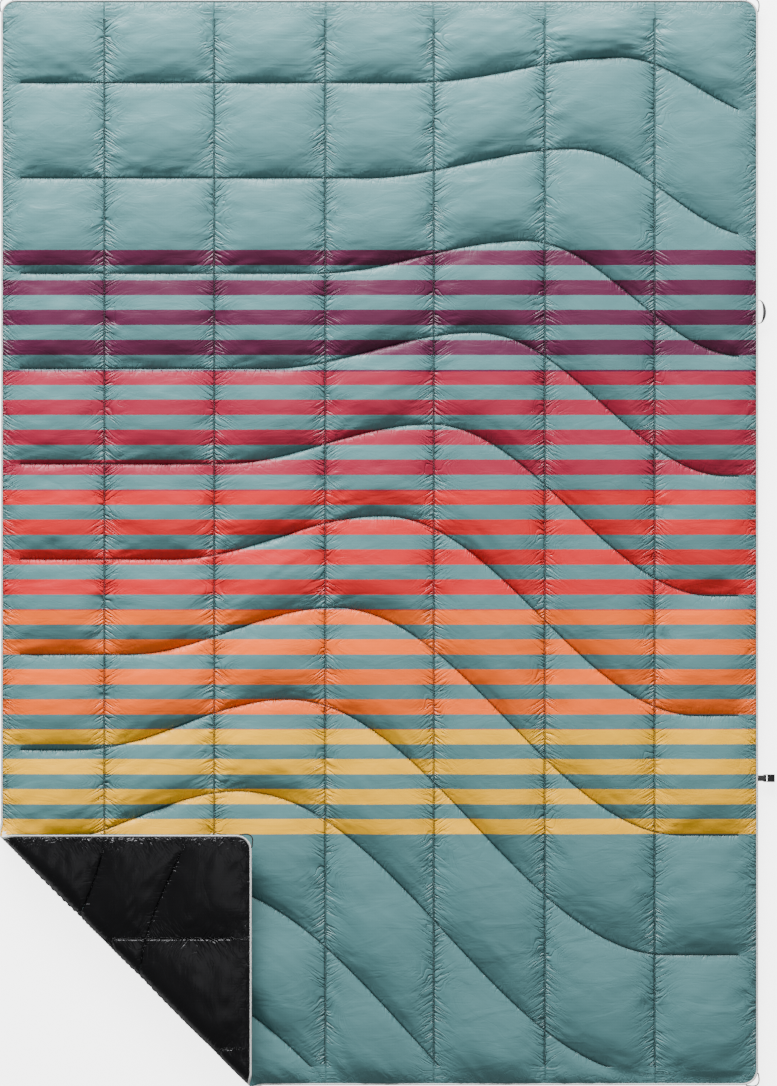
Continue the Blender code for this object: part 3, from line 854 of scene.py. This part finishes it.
def stitches(name, height, side, thin_edge):
    """Every dash as a small closed spindle lying on the cloth at a height, on one side of it."""
    spots, ways = stitch_lines()
    normals = np.stack((-ways[:, 1], ways[:, 0]), axis=1)
    along = np.array((-0.5, -0.32, -0.32, -0.32, 0.32, 0.32, 0.32, 0.5)) * STITCH_LENGTH
    over = np.array((0, -1, 1, 0, -1, 1, 0, 0)) * THREAD_RADIUS * 1.2
    up = np.array((0, -0.5, -0.5, 1, -0.5, -0.5, 1, 0)) * THREAD_RADIUS * side
    plan = spots[:, None, :] + ways[:, None, :] * along[None, :, None]
    plan = plan + normals[:, None, :] * over[None, :, None]
    z = np.broadcast_to(height + up, plan.shape[:2])
    flat = np.column_stack((plan.reshape(-1, 2), z.reshape(-1)))
    placed = turn_corner(flat, np.column_stack((flat[:, :2], np.zeros(len(flat)))), thin_edge)
    dash = [(0, 2, 1), (0, 3, 2), (0, 1, 3), (1, 2, 5, 4), (2, 3, 6, 5)]
    dash += [(3, 1, 4, 6), (7, 4, 5), (7, 5, 6), (7, 6, 4)]
    dash = [corners if side > 0 else corners[::-1] for corners in dash]
    faces = [tuple(8 * k + v for v in corners) for k in range(len(spots)) for corners in dash]
    mesh = bpy.data.meshes.new(name)
    mesh.from_pydata(placed.tolist(), [], faces)
    mesh.shade_smooth()
    return put_in_scene(name, mesh)


def thread_look(name, colour):
    """Spun polyester thread: two plies twisted together, slightly fuzzy."""
    look, tree, shader = new_look(name)
    where = node(tree, "ShaderNodeTexCoord").outputs["Object"]
    twist = node(tree, "ShaderNodeTexWave", {"Scale": 480.0, "Vector": where}, bands_direction="DIAGONAL")
    twist = twist.outputs["Fac"]
    # Painted shade: the colour is darker between the twisted plies, where the twist bump sinks.
    shade = mixed(tree, twist, tuple(c * 0.55 for c in colour[:3]) + (1,), colour)
    feed(tree, shader, {"Base Color": shade, "Roughness": 0.62})
    bump_from(tree, shader, twist, 0.0002)
    return look


TEAL_THREAD = thread_look("teal_thread", (0.030, 0.070, 0.074, 1))
face_stitches = stitches("face_stitches", SEAM_FACE + 0.0001, 1, 1.0)
lining_stitches = stitches("lining_stitches", SEAM_LINING - 0.0001, -1, 0.0)
for thread_piece in (face_stitches, lining_stitches):
    thread_piece.data.materials.append(TEAL_THREAD)
face_nodes = [f"column_stitch_{k + 1}" for k in range(COLUMNS)]
face_nodes += [f"wave_stitch_{k + 1}" for k in range(WAVES)]
turned_nodes = ["flap_column_stitch_1", "flap_column_stitch_2", "flap_wave_stitch_10", "flap_wave_stitch_11"]
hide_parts(*face_nodes)
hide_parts(*turned_nodes)
bend_at_fold(face_stitches)
bend_at_fold(lining_stitches)


# -----------------------------------------------------------------------------
# Piping. A thin cord covered in white woven tape, its flange caught in the hem all the way round.
# -----------------------------------------------------------------------------

PIPING_RADIUS = 0.0015
PIPING_OFFSET = 0.0018
PIPING_STEP = 0.0052
FLANGE, FLANGE_HALF = 0.0021, 0.00018
piping_radius = CORNER_RADIUS + PIPING_OFFSET
line, outward = [], []
for sign_x, sign_y, first in ((1, 1, 0), (-1, 1, 90), (-1, -1, 180), (1, -1, 270)):
    heart = np.array((sign_x * (WIDTH / 2 - CORNER_RADIUS), sign_y * (LENGTH / 2 - CORNER_RADIUS)))
    for degrees in np.linspace(first, first + 90, 13):
        way = np.array((math.cos(math.radians(degrees)), math.sin(math.radians(degrees))))
        line.append(heart + way * piping_radius)
        outward.append(way)
line, outward = np.array(line), np.array(outward)
gap = np.linalg.norm(np.roll(line, -1, axis=0) - line, axis=1)
run = np.concatenate(((0,), np.cumsum(gap)))
stops = np.arange(0, run[-1], PIPING_STEP)
loop_line = [np.interp(stops, run, np.append(line[:, k], line[0, k])) for k in range(2)]
loop_way = [np.interp(stops, run, np.append(outward[:, k], outward[0, k])) for k in range(2)]
ring = [(math.cos(a), math.sin(a)) for a in np.radians(np.arange(-150, 151, 37.5))]
ring = [(PIPING_RADIUS * c, PIPING_RADIUS * s) for c, s in ring]
ring = np.array(ring + [(-FLANGE, FLANGE_HALF), (-FLANGE, -FLANGE_HALF)])
plan_x = loop_line[0][:, None] + loop_way[0][:, None] * ring[None, :, 0]
plan_y = loop_line[1][:, None] + loop_way[1][:, None] * ring[None, :, 0]
swell = 1 + 0.05 * cloth_noise(stops / 0.02, np.zeros_like(stops), 91)
height = SEAM_EDGE + ring[None, :, 1] * swell[:, None]
flat = np.column_stack((plan_x.ravel(), plan_y.ravel(), height.ravel()))
placed = turn_corner(flat, flat, 0.0)
sides, rings = len(ring), len(stops)
faces = []
for k in range(rings):
    for m in range(sides):
        a, b = k * sides + m, k * sides + (m + 1) % sides
        faces.append((a, b, (b + sides) % (sides * rings), (a + sides) % (sides * rings)))
piping_mesh = bpy.data.meshes.new("white_piping")
piping_mesh.from_pydata(placed.tolist(), [], faces)
piping_mesh.shade_smooth()
lay_uv(piping_mesh, np.stack((np.repeat(stops, sides), np.tile(np.arange(sides) * 0.001, rings)), axis=1))
piping = put_in_scene("white_piping", piping_mesh)


def tape_group():
    """Tightly woven or braided yarn: ribs along a piece crossed by finer picks, with a little uneven wear."""
    group, given, out = new_group(
        "woven_yarn", {"Place": "Vector", "Fineness": "Float"}, {"Height": "Float", "Light": "Float", "Worn": "Float"}
    )
    scaled = {0: given.outputs["Place"], "Scale": given.outputs["Fineness"]}
    scaled = node(group, "ShaderNodeVectorMath", scaled, operation="SCALE").outputs["Vector"]
    weave = times(group, bands(group, scaled, "X", 1.0, 0.6), bands(group, scaled, "Y", 0.7))
    worn = noise_node(group, given.outputs["Place"], 60.0, 3.0)
    # Painted light and shade: lighter on the raised yarns and darker between them, with a little uneven wear mixed
    # in.
    painted_light_and_wear = plus(group, math_node(group, "POWER", weave, 0.4), times(group, worn, 0.3))
    feed(group, out, {"Height": weave, "Light": minus(group, painted_light_and_wear, 0.15), "Worn": worn})
    return group


WOVEN_YARN = tape_group()


def woven_look(name, colour, rough, fineness, depth):
    """A woven or braided trim's material."""
    look, tree, shader = new_look(name)
    place = node(tree, "ShaderNodeUVMap", uv_map="cut").outputs["UV"]
    weave = node(tree, "ShaderNodeGroup", node_tree=WOVEN_YARN)
    feed(tree, weave, {"Place": place, "Fineness": fineness})
    # Painted light and shade from the weave, with the wear: the raised yarns lighter, the hollows between them
    # darker.
    shade = mixed(tree, weave.outputs["Light"], tuple(c * 0.62 for c in colour[:3]) + (1,), colour)
    roughness = plus(tree, times(tree, weave.outputs["Worn"], 0.2), rough)
    feed(tree, shader, {"Base Color": shade, "Roughness": roughness, "Sheen Weight": 0.2})
    bump_from(tree, shader, weave.outputs["Height"], depth)
    return look


piping.data.materials.append(woven_look("white_piping", (0.86, 0.87, 0.86, 1), 0.6, 160.0, 0.00025))
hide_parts("edge_piping", "flap_piping")
bend_at_fold(piping)


# -----------------------------------------------------------------------------
# Corner loops. Thin braided elastic cord, one loop at each corner, its two ends caught under the hem.
# -----------------------------------------------------------------------------

CORD_RADIUS = 0.0012
CORD_STANDS_OFF = 0.0077
LOOP_FROM, LOOP_SWEEP = 12, 66


def ringed_piece(name, rings, line, breadths):
    """A closed tube through rings of points, mapped by the run of its line and the breadth at each point."""
    count, sides = rings.shape[:2]
    faces = []
    for k in range(count - 1):
        for m in range(sides):
            a, b = k * sides + m, k * sides + (m + 1) % sides
            faces.append((a, a + sides, b + sides, b))
    faces += [tuple(range(sides)), tuple(reversed(range((count - 1) * sides, count * sides)))]
    mesh = bpy.data.meshes.new(name)
    mesh.from_pydata(rings.reshape(-1, 3).tolist(), [], faces)
    body = bmesh.new()
    body.from_mesh(mesh)
    bmesh.ops.recalc_face_normals(body, faces=body.faces)
    body.to_mesh(mesh)
    body.free()
    mesh.shade_smooth()
    run = np.concatenate(((0,), np.cumsum(np.linalg.norm(np.diff(line, axis=0), axis=1))))
    lay_uv(mesh, np.stack((np.repeat(run, sides), breadths.ravel()), axis=1))
    return put_in_scene(name, mesh)


def braided_cord(name, line, radius, sides, widen):
    """A round cord along points, a little wider and narrower along its way."""
    way = np.gradient(line, axis=0)
    way /= np.linalg.norm(way, axis=1)[:, None]
    across = np.cross(way, (0, 0, 1.0))
    across /= np.linalg.norm(across, axis=1)[:, None]
    up = np.cross(across, way)
    angles = 2 * np.pi * np.arange(sides) / sides
    rings = line[:, None, :] + widen[:, None, None] * (
        across[:, None, :] * (radius * np.cos(angles))[None, :, None]
        + up[:, None, :] * (radius * np.sin(angles))[None, :, None]
    )
    return ringed_piece(name, rings, line, np.tile(np.abs(angles - np.pi) * radius, len(line)))


BLACK_CORD = woven_look("black_cord", (0.010, 0.010, 0.011, 1), 0.5, 210.0, 0.0003)
HEEL = CORNER_RADIUS + 2 * PIPING_OFFSET + CORD_RADIUS
CORNERS = (
    ("corner_loop_top_left", "loop_top_left", -1, 1),
    ("corner_loop_top_right", "loop_top_right", 1, 1),
    ("corner_loop_bottom_right", "loop_bottom_right", 1, -1),
    ("corner_loop_turned", "loop_turned", -1, -1),
)
for cad_name, loop_body, sign_x, sign_y in CORNERS:
    shares = np.linspace(0, 1, 41)
    angles = np.radians(LOOP_FROM + LOOP_SWEEP * shares)
    reach = HEEL + CORD_STANDS_OFF * np.sin(np.pi * shares) ** 2
    tuck = np.clip(1 - np.minimum(shares, 1 - shares) / 0.04, 0, 1)
    reach = reach - 0.004 * tuck ** 2
    heart_x, heart_y = sign_x * (WIDTH / 2 - CORNER_RADIUS), sign_y * (LENGTH / 2 - CORNER_RADIUS)
    line_x, line_y = heart_x + sign_x * np.cos(angles) * reach, heart_y + sign_y * np.sin(angles) * reach
    line = np.column_stack((line_x, line_y, np.full_like(line_x, SEAM_EDGE)))
    twist = 1 + 0.035 * np.sin(shares * 90)
    cord_loop = braided_cord("cord_" + loop_body, line, CORD_RADIUS, 14, twist)
    if loop_body == "loop_turned":
        flat = coordinates(cord_loop.data)
        set_coordinates(cord_loop.data, turn_corner(flat, flat, 0.0))
    cord_loop.data.materials.append(BLACK_CORD)
    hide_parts(cad_name)
    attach(cord_loop, loop_body)


# -----------------------------------------------------------------------------
# Cape loop. Narrow black webbing sewn flat into the side hem at both ends and standing on edge between them.
# -----------------------------------------------------------------------------

HEEL_X = WIDTH / 2 + 2 * PIPING_OFFSET + 0.0014
RING_Y, RING_HALF_SPAN, RING_BULGE, RING_LEAN = 0.4056, 0.0205, 0.0095, 0.0030
RING_WIDTH, RING_THICKNESS = 0.009, 0.0013
SEWN_IN = 0.0024


def webbing_strip(name, centres, normals, ups, half_widths, thickness, across_steps=8):
    """A band with rounded selvedges: its centre line, the direction it faces, and the direction across it."""
    rim = [(m / across_steps * 2 - 1, -1.0) for m in range(across_steps + 1)]
    rim += [(1 - m / across_steps * 2, 1.0) for m in range(across_steps + 1)]
    rim = np.array(rim)
    rounding = np.clip((1 - np.abs(rim[:, 0])) / 0.12, 0.35, 1)
    faces_out = rim[:, 1] * thickness / 2 * rounding
    rings = (
        centres[:, None, :]
        + ups[:, None, :] * (rim[None, :, 0] * half_widths[:, None])[:, :, None]
        + normals[:, None, :] * faces_out[None, :, None]
    )
    return ringed_piece(name, rings, centres, half_widths[:, None] * rim[None, :, 0])


turn = np.linspace(0, np.pi, 49)
swell = np.sin(turn)
half_widths = (0.003 + (RING_WIDTH - 0.003) * swell ** 0.7) / 2
ring_x = HEEL_X + RING_BULGE * swell - SEWN_IN * (1 - swell) ** 8
ring_y = RING_Y + RING_HALF_SPAN * np.cos(turn)
centre_line = np.column_stack((ring_x, ring_y, np.full_like(turn, SEAM_EDGE)))
facing = np.column_stack((np.sin(turn) * RING_HALF_SPAN, np.cos(turn) * RING_BULGE, np.zeros_like(turn)))
facing /= np.linalg.norm(facing, axis=1)[:, None]
leaning = np.column_stack((-RING_LEAN * swell / half_widths, np.zeros_like(turn), np.ones_like(turn)))
BLACK_WEBBING = woven_look("black_webbing", (0.012, 0.012, 0.013, 1), 0.55, 190.0, 0.0003)
cape_loop = webbing_strip("cape_loop_webbing", centre_line, facing, leaning, half_widths, RING_THICKNESS)
cape_loop.data.materials.append(BLACK_WEBBING)
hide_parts("clip_loop")
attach(cape_loop, "cape_loop")


# -----------------------------------------------------------------------------
# Cape clip. A short webbing strap sewn into the side hem and folded round the bar of a moulded black hook.
# -----------------------------------------------------------------------------

CLIP_Y = -0.4144
STRAP_REACH, STRAP_WIDTH, STRAP_LAYER, BAR_RADIUS = 0.010, 0.0105, 0.0010, 0.0015
BAR_X = HEEL_X + STRAP_REACH
bar_clear = BAR_RADIUS + 0.0003 + STRAP_LAYER / 2
strap_line = [(HEEL_X - SEWN_IN, 0.00056), (HEEL_X, 0.00056)]
strap_line += [(HEEL_X + 0.0008 * k, 0.00056) for k in range(1, 5)]
for degrees in np.linspace(105, -105, 22):
    angle = math.radians(degrees)
    strap_line.append((BAR_X + bar_clear * math.cos(angle), bar_clear * math.sin(angle)))
strap_line += [(x, -z) for x, z in reversed(strap_line[:6])]
strap_line = np.array(strap_line)
way = np.gradient(strap_line, axis=0)
way /= np.linalg.norm(way, axis=1)[:, None]
strap_middle = np.full(len(strap_line), CLIP_Y)
strap_centres = np.column_stack((strap_line[:, 0], strap_middle, strap_line[:, 1] + SEAM_EDGE))
strap_normals = np.column_stack((-way[:, 1], np.zeros(len(way)), way[:, 0]))
strap_across = np.tile((0.0, 1.0, 0.0), (len(way), 1))
strap_half = np.full(len(way), STRAP_WIDTH / 2)
strap = webbing_strip("clip_strap_webbing", strap_centres, strap_normals, strap_across, strap_half, STRAP_LAYER)
strap.data.materials.append(BLACK_WEBBING)
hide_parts("clip_webbing")
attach(strap, "clip_strap")

hook = frame["nodes"]["clip_hook"]
moulding, moulding_tree, moulding_shader = new_look("black_moulding")
feed(moulding_tree, moulding_shader, {"Base Color": (0.008, 0.008, 0.009, 1), "Specular IOR Level": 0.35})
on_hook = node(moulding_tree, "ShaderNodeTexCoord").outputs["Object"]
grain = noise_node(moulding_tree, on_hook, 900.0, 2.0, 0.0, "3D")
worn = noise_node(moulding_tree, on_hook, 120.0, 3.0, 0.0, "3D")
hook_rough = plus(moulding_tree, times(moulding_tree, worn, 0.25), 0.28)
feed(moulding_tree, moulding_shader, {"Roughness": hook_rough})
bump_from(moulding_tree, moulding_shader, grain, 0.00012)
hook.data.materials.clear()
hook.data.materials.append(moulding)
